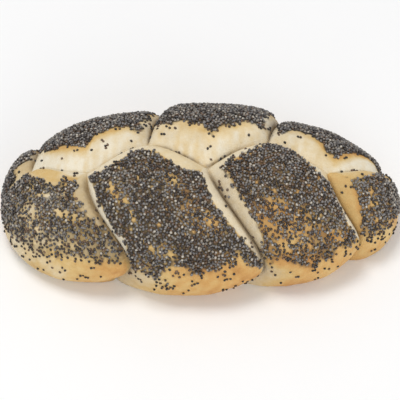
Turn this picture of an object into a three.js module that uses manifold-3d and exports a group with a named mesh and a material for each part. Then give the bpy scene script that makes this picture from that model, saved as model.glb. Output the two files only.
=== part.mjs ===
// Plaited bread roll with poppy seeds, one solid, in millimetres, +Z up.
// The roll lies along X. Its front is towards -Y, and the origin is the middle of its foot on the table.
// A smooth loaf is the envelope: an oval in plan, a half oval in section above its belly line, and
// tucked in below it to a flat foot. The plait is relief in that envelope. The front lobes meet the
// back ones along a zigzag down the ridge, and seams part the lobes on each side, half a lobe apart.
// Every column of the mesh follows the slant of the seams and every row follows the zigzag, so each
// crease lies along mesh edges. The seeds are small ellipsoids, half sunk in the crust.
import * as THREE from "three";
import { mergeVertices } from "three/addons/utils/BufferGeometryUtils.js";
import Module from "manifold-3d";

const wasm = await Module();
wasm.setup();

// The loaf
const LENGTH = 173;
const HALF_FRONT = 44.5; // half width from the ridge to the front
const HALF_BACK = 44;
const WIDTH_TAPER = 0.06; // how much narrower the right end is than the middle, and the left end wider
const HEIGHT = 50;
const BELLY = 14.5; // height of the widest line
const TIP_BELLY = 0.55; // the same at the tips, as a share
const FOOT_TURN = (122 * Math.PI) / 180; // turn of the section from its top to the foot
const FOOT_REACH = 0.8; // share of the half length that lies flat on the table
const PLAN_POWER_LEFT = 2.3; // fullness of the outline seen from above
const PLAN_POWER_RIGHT = 2.18;
const TOP_POWER = 2.45; // fullness of the outline seen from the side

// The plait
const LOBE_PITCH = 51.8; // from one seam to the next along the roll
const FIRST_SEAM = 3; // where the middle front seam leaves the ridge
const RIDGE_BACK = 0.046; // how far the ridge lies behind the middle, as a share of the half section
const ZIGZAG = 6.2; // half the swing of the ridge line
// The arch that the ridge makes over each front lobe, from left to right: its power, where 1 is a point
// at the seams and more is rounder, and its height as a share of the swing.
const ARCH_POWER = [4, 1.3, 1.15, 2.5];
const ARCH_HEIGHT = [1, 0.87, 1, 1];
const ARCH_LOSS_LEFT = 0.9; // how much the arches flatten towards the left tip
const ARCH_LOSS_RIGHT = 0.3;
const HALF_SECTION = 75; // from the ridge over the belly to the foot
// A front seam runs to the right on its way down. From its peak it turns back, by its hook, under the
// lobe on its left. The leftmost one starts out steeper than the others.
const SLANT_FRONT = { run: 25, power: 1.45, peak: 0.7, hook: 8.5, hookRun: 0.25 };
const SLANT_LEFT = { run: 26.5, power: 2.5, peak: 0.64, hook: 10, hookRun: 0.3 };
const SLANT_BACK = 16;
const SLANT_BACK_POWER = 1.1;
const SLANT_FADE = 2.2; // how quickly the slant fades towards the tips

// The creases
const SEAM_DEPTH = 6.5;
const SEAM_REACH = 23; // from the seam to where the lobe is full
const EDGE_REACH = 8; // the lobe's edge rounds over within this distance
const EDGE_SHARE = 0.5; // share of the depth that the edge takes
const TUCK_START = 0.6; // below this a front seam widens, as its right lobe comes from under its left one
const TUCK_RUN = 0.3;
const TUCK_LEFT = [4, 4.2, 4.3]; // depths, for the front seams from left to right
const TUCK_RIGHT = [5.6, 3, 3];
const TUCK_REACH_LEFT = 18;
const TUCK_REACH_RIGHT = 17;
const RIDGE_DEPTH = 6.5;
const RIDGE_FADE = 0.5; // share of the ridge crease's depth that is lost towards the tips
const RIDGE_FADE_START = 46;
const RIDGE_FADE_RUN = 12;
const RIDGE_REACH_FRONT = 15;
const RIDGE_REACH_BACK = 17;
const ROUND = 2; // shape of a crease's side: 2 is a quarter of an ellipse
const SLOPING = 1.5; // nearer to a plain slope, on the back lobes' noses
const SEAM_ANGLE = 0.88; // true distance to a seam over the distance along X
const TIP_CALM = 1.4; // the creases fade where the plan is under 1 / TIP_CALM of its full width
const FOOT_CREASE = 0.7; // share of the depth that a seam keeps at the foot
const FOOT_BLEND = 0.2; // stretch above the foot over which the relief turns level

// How far each lobe stands out from the loaf, from left to right
const FRONT_SWELL = [0.3, 0.8, 0.6, 0.1];
const BACK_SWELL = [0.8, -1.7, 1.2, -1.9, 0];

// The seeds
const SEED_COUNT = 210;
const SEED_LENGTH = 1.35;
const SEED_WIDTH = 1.15;
const SEED_THICKNESS = 1;
const SEED_RISE = 0.12; // height of a seed's middle above the crust
const SEED_SIDES = 5;
const SEED_RINGS = 3;
const SEED_GAP = 5; // least distance between two seeds
const SEED_DRAW = 20261;
const SEED_TRIES = 20000;
const BARE_SEAM = 2.4; // bare crust on each side of a seam
const BARE_RIDGE_FRONT = 2.5;
const BARE_RIDGE_BACK = 12;
const BARE_FOOT = 14; // height up to which the crust is bare

const clamp = (value, low, high) => Math.min(high, Math.max(low, value));

// 1 in the middle of the roll and 0 at its tips, along a superellipse.
function fullness(x, power) {
  const share = Math.min(1, Math.abs(x) / (LENGTH / 2));
  return Math.pow(1 - Math.pow(share, power), 1 / power);
}

function planFullness(x) {
  return fullness(x, x < 0 ? PLAN_POWER_LEFT : PLAN_POWER_RIGHT);
}

// The height of the widest line at x.
function bellyHeight(x) {
  return BELLY * (TIP_BELLY + (1 - TIP_BELLY) * fullness(x, TOP_POWER));
}

// How far the section reaches down from its belly: all the way but at the tips, which curl up.
function footReach(x) {
  const past = (Math.abs(x) / (LENGTH / 2) - FOOT_REACH) / (1 - FOOT_REACH);
  return Math.sqrt(1 - clamp(past, 0, 1) ** 2);
}

// A point of the smooth loaf: across runs from -1 at the front foot over 0 on top to 1 at the back foot.
function envelope(x, across) {
  const share = x / (LENGTH / 2);
  const half = (across < 0 ? HALF_FRONT : HALF_BACK) * (1 - WIDTH_TAPER * share);
  const belly = bellyHeight(x);
  const turn = across * FOOT_TURN;
  const rise = (HEIGHT - BELLY) * fullness(x, TOP_POWER);
  const drop = (belly * footReach(x)) / Math.abs(Math.cos(FOOT_TURN));
  const upright = Math.cos(turn);
  return new THREE.Vector3(
    x,
    half * planFullness(x) * Math.sin(turn),
    belly + upright * (upright > 0 ? rise : drop),
  );
}

function smoothStep(share) {
  const inside = clamp(share, 0, 1);
  return inside * inside * (3 - 2 * inside);
}

function frontSlant(down, way) {
  const run = Math.sin((Math.min(1, down / way.peak) * Math.PI) / 2);
  const hook = clamp((down - way.peak) / way.hookRun, 0, 1);
  return way.run * Math.pow(run, way.power) - way.hook * Math.pow(hook, 1.5);
}

// How far a seam has run along X at a place across, for a lobe in the middle of the roll.
function slant(station, across) {
  if (across >= 0) return SLANT_BACK * Math.pow(across, SLANT_BACK_POWER);
  const left = smoothStep((FIRST_SEAM - station) / LOBE_PITCH);
  return left * frontSlant(-across, SLANT_LEFT) + (1 - left) * frontSlant(-across, SLANT_FRONT);
}

// Swing of the ridge line at a station: lowest where front seams leave it, highest between them.
function ridgeSwing(station) {
  const turns = (station - FIRST_SEAM) / LOBE_PITCH;
  const lobe = clamp(Math.floor(turns) + 2, 0, ARCH_POWER.length - 1);
  const wave = Math.abs(Math.sin(Math.PI * turns));
  const share = Math.min(1, Math.abs(station) / (LENGTH / 2));
  const loss = station < 0 ? ARCH_LOSS_LEFT : ARCH_LOSS_RIGHT;
  const arch = ARCH_HEIGHT[lobe] * Math.pow(wave, ARCH_POWER[lobe]) * (1 - loss * share ** 4);
  return ZIGZAG * (2 * arch - 1);
}

// A point of the envelope by mesh column (station) and row (across).
function smoothPoint(station, across) {
  const share = Math.min(1, Math.abs(station) / (LENGTH / 2));
  const x = station + slant(station, across) * (1 - Math.pow(share, SLANT_FADE));
  const swing = ridgeSwing(station) / HALF_SECTION + RIDGE_BACK;
  return envelope(x, clamp(across + swing * (1 - Math.abs(across)) ** 2, -1, 1));
}

// 0 in the crease and 1 at the reach, steep at first.
function shoulder(distance, reach, power) {
  const left = clamp(1 - distance / reach, 0, 1);
  return Math.pow(1 - Math.pow(left, power), 1 / power);
}

// The seam nearest to a point, and the lobe that the point is on, counted from the left.
function nearestSeam(station, across) {
  const turns = (station - FIRST_SEAM) / LOBE_PITCH - (across > 0 ? 0.5 : 0);
  const offset = (turns - Math.round(turns)) * LOBE_PITCH;
  const lobes = across > 0 ? BACK_SWELL : FRONT_SWELL;
  const lobe = clamp(Math.floor(turns) + (across > 0 ? 3 : 2), 0, lobes.length - 1);
  return { offset, swell: lobes[lobe] };
}

// How much deeper a front seam gets towards the foot.
function tuck(station, across, offset) {
  const seam = Math.round((station - FIRST_SEAM) / LOBE_PITCH) + 1;
  if (across > -TUCK_START || seam < 0 || seam >= TUCK_LEFT.length) return 0;
  const depth = offset > 0 ? TUCK_RIGHT[seam] : TUCK_LEFT[seam];
  const reach = offset > 0 ? TUCK_REACH_RIGHT : TUCK_REACH_LEFT;
  const low = Math.min(1, (-across - TUCK_START) / TUCK_RUN);
  return depth * low * Math.max(0, 1 - Math.abs(offset) / reach);
}

// How deep the relief lies under the envelope.
function creaseDepth(station, across) {
  const { offset, swell } = nearestSeam(station, across);
  const distance = Math.abs(offset) * SEAM_ANGLE;
  const seam =
    EDGE_SHARE * shoulder(distance, EDGE_REACH, ROUND) +
    (1 - EDGE_SHARE) * shoulder(distance, SEAM_REACH, ROUND);
  const fromRidge = Math.abs(across) * HALF_SECTION;
  const ridge =
    across < 0
      ? shoulder(fromRidge, RIDGE_REACH_FRONT, ROUND)
      : shoulder(fromRidge, RIDGE_REACH_BACK, SLOPING);
  const faded = RIDGE_FADE * clamp((Math.abs(station) - RIDGE_FADE_START) / RIDGE_FADE_RUN, 0, 1);
  const crease = RIDGE_DEPTH * (1 - faded) * (1 - ridge) + SEAM_DEPTH * (1 - seam) * ridge;
  return crease + tuck(station, across, offset) - swell * seam * ridge;
}

// The envelope's outward normal, from its change with station and across.
function smoothNormal(station, across) {
  const step = 1e-3;
  const along = smoothPoint(station + step, across).sub(smoothPoint(station - step, across));
  const low = Math.max(-1, across - step);
  const high = Math.min(1, across + step);
  const over = smoothPoint(station, high).sub(smoothPoint(station, low));
  return along.cross(over).normalize();
}

// A point of the crust.
function crustPoint(station, across) {
  const point = smoothPoint(station, across);
  const depth = creaseDepth(station, across) * clamp(planFullness(point.x) * TIP_CALM, 0, 1);
  const normal = smoothNormal(station, across);
  const upper = clamp((1 - Math.abs(across)) / FOOT_BLEND, 0, 1);
  const level = upper + (1 - upper) * FOOT_CREASE;
  const inward = new THREE.Vector3(normal.x * level, normal.y * level, normal.z * upper);
  return point.addScaledVector(inward, -depth);
}

// Mesh columns: close together at each seam, wider over the lobes, and close again at the tips.
function stations() {
  const steps = [0, 0.03, 0.09, 0.18, 0.32, 0.5, 0.68, 0.82, 0.91, 0.97];
  const tips = [0.945, 0.965, 0.98, 0.992, 0.9985];
  const half = LOBE_PITCH / 2;
  const found = [];
  for (let turn = -5; turn < 5; turn++)
    for (const step of steps) {
      const station = FIRST_SEAM + (turn + step) * half;
      if (Math.abs(station) < 0.93 * (LENGTH / 2)) found.push(station);
    }
  for (const tip of tips) {
    found.push((tip * LENGTH) / 2);
    found.push((-tip * LENGTH) / 2);
  }
  return found.sort((a, b) => a - b);
}

// Mesh rows from the front foot to the back foot.
function rows() {
  const half = [0.012, 0.035, 0.07, 0.12, 0.19, 0.28, 0.38, 0.49, 0.6, 0.7, 0.79, 0.87, 0.94, 1];
  return [...half.map((row) => -row).reverse(), 0, ...half];
}

// The crust as rings of points joined by triangles, each ring closed along the middle of the foot.
function crustMesh() {
  const columns = stations();
  const across = rows();
  const points = [];
  for (const station of columns) {
    const ring = across.map((row) => crustPoint(station, row));
    const front = ring[0];
    const back = ring[ring.length - 1];
    ring.push(front.clone().add(back).multiplyScalar(0.5));
    points.push(...ring);
  }
  const around = across.length + 1;
  const triangles = [];
  for (let column = 0; column < columns.length - 1; column++)
    for (let row = 0; row < around; row++) {
      const next = (row + 1) % around;
      const a = column * around + row;
      const b = column * around + next;
      const c = a + around;
      const d = b + around;
      triangles.push(a, c, d, a, d, b);
    }
  const tipHeight = bellyHeight(LENGTH / 2);
  const left = points.push(new THREE.Vector3(-LENGTH / 2, 0, tipHeight)) - 1;
  const right = points.push(new THREE.Vector3(LENGTH / 2, 0, tipHeight)) - 1;
  const last = (columns.length - 1) * around;
  for (let row = 0; row < around; row++) {
    const next = (row + 1) % around;
    triangles.push(left, row, next);
    triangles.push(right, last + next, last + row);
  }
  const geometry = new THREE.BufferGeometry().setFromPoints(points);
  geometry.setIndex(triangles);
  geometry.computeBoundingBox();
  const middle = geometry.boundingBox.getCenter(new THREE.Vector3());
  geometry.translate(-middle.x, -middle.y, 0);
  geometry.computeBoundingBox();
  return { geometry, columns, across, around };
}

// A random draw that gives the same numbers each time (mulberry32).
function makeDraw(seed) {
  let state = seed;
  return () => {
    state = (state + 0x6d2b79f5) | 0;
    let mixed = Math.imul(state ^ (state >>> 15), 1 | state);
    mixed = (mixed + Math.imul(mixed ^ (mixed >>> 7), 61 | mixed)) ^ mixed;
    return ((mixed ^ (mixed >>> 14)) >>> 0) / 4294967296;
  };
}

// Whether the crust carries seeds there: not in the bare bands along the creases or near the foot.
function isSeeded(station, across, height) {
  const fromRidge = Math.abs(across) * HALF_SECTION;
  return (
    Math.abs(nearestSeam(station, across).offset) > BARE_SEAM &&
    fromRidge > (across < 0 ? BARE_RIDGE_FRONT : BARE_RIDGE_BACK) &&
    height > BARE_FOOT
  );
}

// Where a value lies in a rising list: the index before it, and its share of the gap.
function between(list, value) {
  const next = list.findIndex((entry) => entry > value);
  return { index: next - 1, share: (value - list[next - 1]) / (list[next] - list[next - 1]) };
}

// The point and the normal of the crust's flat face at a station and a place across.
function faceOfCrust({ geometry, columns, across, around }, station, place) {
  const column = between(columns, station);
  const row = between(across, place);
  if (column.index < 0) return null;
  const position = geometry.getAttribute("position");
  const corner = (index) => new THREE.Vector3().fromBufferAttribute(position, index);
  const first = column.index * around + row.index;
  const a = corner(first);
  const b = corner(first + 1);
  const c = corner(first + around);
  const d = corner(first + around + 1);
  const byRow = row.share > column.share;
  const [middle, near, far] = byRow ? [b, row.share, column.share] : [c, column.share, row.share];
  const at = a
    .clone()
    .addScaledVector(middle.clone().sub(a), near)
    .addScaledVector(d.clone().sub(middle), far);
  const normal = middle.clone().sub(a).cross(d.clone().sub(a));
  return { at, normal: normal.multiplyScalar(byRow ? -1 : 1).normalize() };
}

// Places for the seeds, spread over the crust and far enough apart. They stay inside the crust's own
// length and width, so that the origin stays in the middle.
function seedPlaces(crust) {
  const draw = makeDraw(SEED_DRAW);
  const reach = crust.geometry.boundingBox.max;
  const found = [];
  for (let turn = 0; turn < SEED_TRIES && found.length < SEED_COUNT; turn++) {
    const station = (draw() - 0.5) * LENGTH;
    const across = 2 * draw() - 1;
    const spin = draw() * Math.PI;
    const face = faceOfCrust(crust, station, across);
    if (!face || !isSeeded(station, across, face.at.z)) continue;
    if (Math.abs(face.at.x) > reach.x - SEED_LENGTH / 2) continue;
    if (Math.abs(face.at.y) > reach.y - SEED_LENGTH / 2) continue;
    if (found.some((other) => other.at.distanceTo(face.at) < SEED_GAP)) continue;
    found.push({ ...face, spin });
  }
  return found;
}

// One seed, lying on the crust at its place.
function seedMesh({ at, normal, spin }) {
  const geometry = new THREE.SphereGeometry(0.5, SEED_SIDES, SEED_RINGS);
  geometry.rotateX(Math.PI / 2);
  geometry.scale(SEED_LENGTH, SEED_WIDTH, SEED_THICKNESS);
  geometry.rotateZ(spin);
  const upright = new THREE.Quaternion().setFromUnitVectors(new THREE.Vector3(0, 0, 1), normal);
  geometry.applyQuaternion(upright);
  const middle = at.clone().addScaledVector(normal, SEED_RISE);
  geometry.translate(middle.x, middle.y, middle.z);
  return geometry;
}

// A closed mesh as a solid for the join.
function solidOf(geometry) {
  const bare = geometry.clone();
  bare.deleteAttribute("normal");
  bare.deleteAttribute("uv");
  const merged = mergeVertices(bare, 1e-4);
  return new wasm.Manifold(
    new wasm.Mesh({
      numProp: 3,
      vertProperties: merged.getAttribute("position").array,
      triVerts: new Uint32Array(merged.index.array),
    }),
  );
}

function geometryOf(solid) {
  const mesh = solid.getMesh();
  const geometry = new THREE.BufferGeometry();
  geometry.setAttribute("position", new THREE.BufferAttribute(mesh.vertProperties, 3));
  geometry.setIndex(new THREE.BufferAttribute(mesh.triVerts, 1));
  geometry.computeVertexNormals();
  return geometry;
}

function breadRoll() {
  const crust = crustMesh();
  let solid = solidOf(crust.geometry);
  for (const place of seedPlaces(crust)) solid = solid.add(solidOf(seedMesh(place)));
  const bakedCrust = new THREE.MeshStandardMaterial({
    color: new THREE.Color(0.78, 0.6, 0.38),
    roughness: 0.7,
    metalness: 0,
  });
  const mesh = new THREE.Mesh(geometryOf(solid), bakedCrust);
  mesh.name = "bread_roll";
  return mesh;
}

const roll = new THREE.Group();
roll.add(breadRoll());

export default roll;
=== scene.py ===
import math
from itertools import product

import bpy
import numpy as np
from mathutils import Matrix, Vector


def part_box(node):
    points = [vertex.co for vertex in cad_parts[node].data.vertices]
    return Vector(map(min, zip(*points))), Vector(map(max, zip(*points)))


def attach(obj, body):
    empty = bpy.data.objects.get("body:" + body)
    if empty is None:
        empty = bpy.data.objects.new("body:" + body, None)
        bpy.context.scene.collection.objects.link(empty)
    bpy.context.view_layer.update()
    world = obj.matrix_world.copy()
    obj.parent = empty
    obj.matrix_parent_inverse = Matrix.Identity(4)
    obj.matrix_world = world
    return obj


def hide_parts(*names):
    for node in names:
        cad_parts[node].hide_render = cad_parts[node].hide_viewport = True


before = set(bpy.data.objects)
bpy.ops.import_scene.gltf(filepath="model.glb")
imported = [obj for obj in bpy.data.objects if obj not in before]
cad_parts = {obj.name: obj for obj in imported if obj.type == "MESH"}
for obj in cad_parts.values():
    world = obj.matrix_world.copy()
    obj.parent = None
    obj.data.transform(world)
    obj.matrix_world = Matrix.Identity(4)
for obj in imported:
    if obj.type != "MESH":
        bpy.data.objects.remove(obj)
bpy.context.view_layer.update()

NODE = "bread_roll"
MM = 0.001

# The loaf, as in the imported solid
LENGTH = 173.0
HALF_FRONT = 44.5  # half width from the ridge to the front
HALF_BACK = 44.0
WIDTH_TAPER = 0.06  # how much narrower the right end is than the middle, and the left end wider
HEIGHT = 50.0
BELLY = 14.5  # height of the widest line
TIP_BELLY = 0.55  # the same at the tips, as a share
FOOT_TURN = math.radians(122)  # turn of the section from its top to the foot
FOOT_REACH = 0.8  # share of the half length that lies flat on the table
PLAN_POWER_LEFT = 2.3  # fullness of the outline seen from above
PLAN_POWER_RIGHT = 2.18
TOP_POWER = 2.45  # fullness of the outline seen from the side

# The plait
LOBE_PITCH = 51.8  # from one seam to the next along the roll
FIRST_SEAM = 3.0  # where the middle front seam leaves the ridge
RIDGE_BACK = 0.046  # how far the ridge lies behind the middle, as a share of the half section
ZIGZAG = 6.2  # half the swing of the ridge line
# The arch that the ridge makes over each front lobe, from left to right: its power, where 1 is a point
# at the seams and more is rounder, and its height as a share of the swing.
ARCH_POWER = np.array([4.0, 1.3, 1.15, 2.5])
ARCH_HEIGHT = np.array([1.0, 0.87, 1.0, 1.0])
ARCH_LOSS_LEFT = 0.9  # how much the arches flatten towards the left tip
ARCH_LOSS_RIGHT = 0.3
HALF_SECTION = 75.0  # from the ridge over the belly to the foot
# A front seam runs to the right on its way down. From its peak it turns back, by its hook, under the
# lobe on its left. The leftmost one starts out steeper than the others.
SLANT_FRONT = {"run": 25.0, "power": 1.45, "peak": 0.7, "hook": 8.5, "hook_run": 0.25}
SLANT_LEFT = {"run": 26.5, "power": 2.5, "peak": 0.64, "hook": 10.0, "hook_run": 0.3}
SLANT_BACK = 16.0
SLANT_BACK_POWER = 1.1
HOOK_POWER = 1.5
SLANT_FADE = 2.2  # how quickly the slant fades towards the tips

# The creases
SEAM_DEPTH = 6.5
SEAM_REACH = 23.0  # from the seam to where the lobe is full
EDGE_REACH = 8.0  # the lobe's edge rounds over within this distance
EDGE_SHARE = 0.5  # share of the depth that the edge takes
TUCK_START = 0.6  # below this a front seam widens, as its right lobe comes from under its left one
TUCK_RUN = 0.3
TUCK_LEFT = [4.0, 4.2, 4.3]  # depths, for the front seams from left to right
TUCK_RIGHT = [5.6, 3.0, 3.0]
TUCK_REACH_LEFT = 18.0
TUCK_REACH_RIGHT = 17.0
RIDGE_DEPTH = 6.5
RIDGE_FADE = 0.5  # share of the ridge crease's depth that is lost towards the tips
RIDGE_FADE_START = 46.0
RIDGE_FADE_RUN = 12.0
RIDGE_REACH_FRONT = 15.0
RIDGE_REACH_BACK = 17.0
ROUND = 2.0  # shape of a crease's side: 2 is a quarter of an ellipse
SLOPING = 1.5  # nearer to a plain slope, on the back lobes' noses
SEAM_ANGLE = 0.88  # true distance to a seam over the distance along X
TIP_CALM = 1.4  # the creases fade where the plan is under 1 / TIP_CALM of its full width
FOOT_CREASE = 0.7  # share of the depth that a seam keeps at the foot
FOOT_BLEND = 0.2  # stretch above the foot over which the relief turns level
# How far each lobe stands out from the loaf, from left to right
FRONT_SWELL = np.array([0.3, 0.8, 0.6, 0.1])
BACK_SWELL = np.array([0.8, -1.7, 1.2, -1.9, 0.0])

# What the fine surface adds: it lies a little inside the solid, so that the seeds stay in the solid's box
INSET = 0.8
LUMPS = 0.35  # height of the crust's soft unevenness
DIMPLES = 0.07
WAVE_SPREAD = (0.6, 1.7)  # how much the lengths of the waves in such unevenness differ
WAVE_SCALE = 1.4  # what brings their sum to between about -1 and 1
SLIT_DEPTH = 0.6  # the narrow slit at the bottom of a crease
SLIT_REACH = 0.9
SLIT_POWER = 1.5
RIDGE_SLIT = 0.4  # the same under the noses
VALLEY_DEPTH = 1.0  # the bare noses dip where a front crease runs up to them
VALLEY_REACH = 5.0
VALLEY_TOP = 4.5  # how far from the ridge a dip is deepest

# The fine mesh
COLUMNS_PER_LOBE = 104
ROWS_PER_SIDE = 118
FOOT_ROWS = 8
SEAM_CROWDING = 0.68  # how much closer the columns lie at a seam than on average
RIDGE_CROWDING = 0.65
HALF_LOBES = 4  # on each side of the first seam
TIP_SHARE = 0.035  # the part of the half length that has columns of its own at a tip
TIP_COLUMNS = 14
TIP_CLOSEST = 0.97  # how near the last one comes to the tip
NORMAL_STEP = 2e-3  # how far to each side, across, the points lie from which a normal is worked out
NORMAL_STEP_ALONG = 10 * NORMAL_STEP

# The seeds
SEED_SIZE = np.array([1.32, 1.1, 0.95])  # length, width and thickness
SEED_SIDES = 8
SEED_RINGS = 4
SEED_BEND = 0.35  # how much a seed curves, like a kidney
SEED_BEND_BACK = 0.04  # what brings its middle back in place
SEED_SPREAD = 0.08  # how much their sizes differ
SEED_TILT = 0.25  # how much they lean
SEED_DRAW = 5  # what the random places start from
SEED_TRIES = 240000
SEED_SPACING = 0.98  # least distance between the middles of two seeds
SEED_LOWEST = 0.86  # how far down a side they are tried, as a share of it
SEED_END = 0.05  # clear of the tips
SEED_HEIGHT = 0.15  # height of a seed's middle above the crust, as a share of its thickness
SEED_HEIGHT_RANGE = (-0.15, 0.25)
PILED_TRIES = 70000  # the same for the seeds that lie on others
PILED_SPACING = 1.16
PILED_HEIGHT = 0.6
PILED_HEIGHT_RANGE = (-0.15, 0.1)
PILED_SHARE = 0.95
PILED_COAT_RISE = (0.72, 0.23)  # how dense the coat is where they start, and over what range they come

# The kinds of seeds, and the share of each. They are picked by a number from 0 to 1, in this order. The
# pale kind is partly pale seeds and partly painted highlights on the seeds.
SEED_KINDS = {
    "seeds_brown": 0.17, "seeds_dark": 0.23, "seeds_blue": 0.22, "seeds_slate": 0.28, "seeds_pale_and_glint": 0.1,
}  # fmt: skip
LONE_KINDS = 0.4  # single seeds are of the first kinds only, up to this number
COAT_KINDS = 0.68  # the same for the lower seeds of the coat
PILED_KINDS = 0.24  # the seeds on top are of the later kinds, from this number on
LONE_RISE = (0.45, 0.4)  # how dense the coat is where seeds no longer count as single ones
LONE_DARKER = 0.4  # how much darker single seeds are
SEED_TOP_PAINTED_LIGHT = 0.9  # how much paler a seed's top is than its underside: painted light on the top, painted shade below


def rgb(red, green, blue):
    """A colour given in the usual 0 to 255 steps, as linear values."""
    steps = np.array([red, green, blue]) / 255
    linear = np.where(steps <= 0.04045, steps / 12.92, ((steps + 0.055) / 1.055) ** 2.4)
    return (*map(float, linear), 1.0)


def rising(value, start, run):
    """0 up to the start and 1 from a run further on. A pair of the two has a name that ends in RISE."""
    return np.clip((value - start) / run, 0, 1)


# Shape of the loaf and the plait. In these functions station is a mesh column, counted along the roll,
# and across is a mesh row: -1 at the front foot, 0 on the ridge and 1 at the back foot.
def fullness(x, power):
    share = np.clip(np.abs(x) / (LENGTH / 2), 0, 1)
    return (1 - share**power) ** (1 / power)


def plan_fullness(x):
    return np.where(x < 0, fullness(x, PLAN_POWER_LEFT), fullness(x, PLAN_POWER_RIGHT))


def belly_height(x):
    return BELLY * (TIP_BELLY + (1 - TIP_BELLY) * fullness(x, TOP_POWER))


def envelope(x, across):
    """A point of the smooth loaf."""
    share = x / (LENGTH / 2)
    half = np.where(across < 0, HALF_FRONT, HALF_BACK) * (1 - WIDTH_TAPER * share)
    belly = belly_height(x)
    turn = across * FOOT_TURN
    rise = (HEIGHT - BELLY) * fullness(x, TOP_POWER)
    past = rising(np.abs(share), FOOT_REACH, 1 - FOOT_REACH)
    drop = belly * np.sqrt(1 - past**2) / abs(math.cos(FOOT_TURN))
    upright = np.cos(turn)
    y = half * plan_fullness(x) * np.sin(turn)
    z = belly + upright * np.where(upright > 0, rise, drop)
    return np.stack([x, y, z], -1)


def smooth_step(share):
    inside = np.clip(share, 0, 1)
    return inside * inside * (3 - 2 * inside)


def front_slant(front, way):
    run = np.sin(np.clip(front / way["peak"], 0, 1) * math.pi / 2)
    hook = rising(front, way["peak"], way["hook_run"])
    return way["run"] * run ** way["power"] - way["hook"] * hook**HOOK_POWER


def slant(station, across):
    """How far a seam has run along X."""
    front = np.clip(-across, 0, 1)
    left = smooth_step((FIRST_SEAM - station) / LOBE_PITCH)
    return np.where(
        across < 0,
        left * front_slant(front, SLANT_LEFT) + (1 - left) * front_slant(front, SLANT_FRONT),
        SLANT_BACK * np.clip(across, 0, 1) ** SLANT_BACK_POWER,
    )


def front_turns(station):
    """The station counted in lobes, and 0 at the middle front seam."""
    return (station - FIRST_SEAM) / LOBE_PITCH


def ridge_swing(station):
    """How far the zigzag of the ridge lies behind its middle line."""
    turns = front_turns(station)
    lobe = np.clip(np.floor(turns).astype(int) + 2, 0, len(ARCH_POWER) - 1)
    wave = np.abs(np.sin(math.pi * turns))
    share = np.clip(np.abs(station) / (LENGTH / 2), 0, 1)
    loss = np.where(station < 0, ARCH_LOSS_LEFT, ARCH_LOSS_RIGHT)
    return ZIGZAG * (2 * ARCH_HEIGHT[lobe] * wave ** ARCH_POWER[lobe] * (1 - loss * share**4) - 1)


def down_from_ridge(across):
    return np.abs(across) * HALF_SECTION


def smooth_point(station, across):
    share = np.clip(np.abs(station) / (LENGTH / 2), 0, 1)
    x = station + slant(station, across) * (1 - share**SLANT_FADE)
    swing = ridge_swing(station) / HALF_SECTION + RIDGE_BACK
    return envelope(x, np.clip(across + swing * (1 - np.abs(across)) ** 2, -1, 1))


def shoulder(distance, reach, power):
    """0 in a crease and 1 at its reach, steep at first."""
    left = np.clip(1 - distance / reach, 0, 1)
    return (1 - left**power) ** (1 / power)


def nearest_seam(station, across):
    """The distance along X past the nearest seam, and the swell of the lobe."""
    turns = np.where(across > 0, front_turns(station) - 0.5, front_turns(station))
    offset = (turns - np.round(turns)) * LOBE_PITCH
    lobe = np.floor(turns).astype(int)
    front_swell = FRONT_SWELL[np.clip(lobe + 2, 0, len(FRONT_SWELL) - 1)]
    back_swell = BACK_SWELL[np.clip(lobe + 3, 0, len(BACK_SWELL) - 1)]
    return offset, np.where(across > 0, back_swell, front_swell)


def on_seams(station, values):
    """Values given for the front seams from left to right, each for the points nearest to its seam."""
    nearest = np.round(front_turns(station))
    return sum(np.where(nearest == seam - 1, value, 0) for seam, value in enumerate(values))


def tuck(station, across, offset):
    """How much deeper a front seam gets towards the foot."""
    depth = np.where(offset > 0, on_seams(station, TUCK_RIGHT), on_seams(station, TUCK_LEFT))
    reach = np.where(offset > 0, TUCK_REACH_RIGHT, TUCK_REACH_LEFT)
    low = rising(-across, TUCK_START, TUCK_RUN)
    return depth * low * np.clip(1 - np.abs(offset) / reach, 0, 1)


def crease_depth(station, across):
    """How deep the plait's relief lies under the envelope."""
    offset, swell = nearest_seam(station, across)
    distance = np.abs(offset) * SEAM_ANGLE
    edge = shoulder(distance, EDGE_REACH, ROUND)
    seam = EDGE_SHARE * edge + (1 - EDGE_SHARE) * shoulder(distance, SEAM_REACH, ROUND)
    from_ridge = down_from_ridge(across)
    ridge = np.where(
        across < 0,
        shoulder(from_ridge, RIDGE_REACH_FRONT, ROUND),
        shoulder(from_ridge, RIDGE_REACH_BACK, SLOPING),
    )
    faded = RIDGE_FADE * rising(np.abs(station), RIDGE_FADE_START, RIDGE_FADE_RUN)
    crease = RIDGE_DEPTH * (1 - faded) * (1 - ridge) + SEAM_DEPTH * (1 - seam) * ridge
    return crease + tuck(station, across, offset) - swell * seam * ridge


def waves(points, wavelength, count, seed):
    """Smooth unevenness between about -1 and 1: a sum of waves that run in all directions."""
    draw = np.random.default_rng(seed)
    way = draw.normal(size=(count, 3))
    way /= np.linalg.norm(way, axis=1, keepdims=True)
    pace = 2 * math.pi / (wavelength * draw.uniform(*WAVE_SPREAD, count))
    phase = draw.uniform(0, 2 * math.pi, count)
    total = sum(np.sin(points @ (way[i] * pace[i]) + phase[i]) for i in range(count))
    return total / math.sqrt(count) / WAVE_SCALE


def unit(vectors):
    return vectors / np.maximum(np.linalg.norm(vectors, axis=-1, keepdims=True), 1e-9)


def normal_of(surface, station, across):
    """The outward normal of a surface that is given as a function of station and across."""
    low = np.maximum(across - NORMAL_STEP, -1)
    high = np.minimum(across + NORMAL_STEP, 1)
    before = np.maximum(station - NORMAL_STEP_ALONG, -LENGTH / 2)
    after = np.minimum(station + NORMAL_STEP_ALONG, LENGTH / 2)
    along = surface(after, across) - surface(before, across)
    over = surface(station, high) - surface(station, low)
    return unit(np.cross(along, over))


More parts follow.
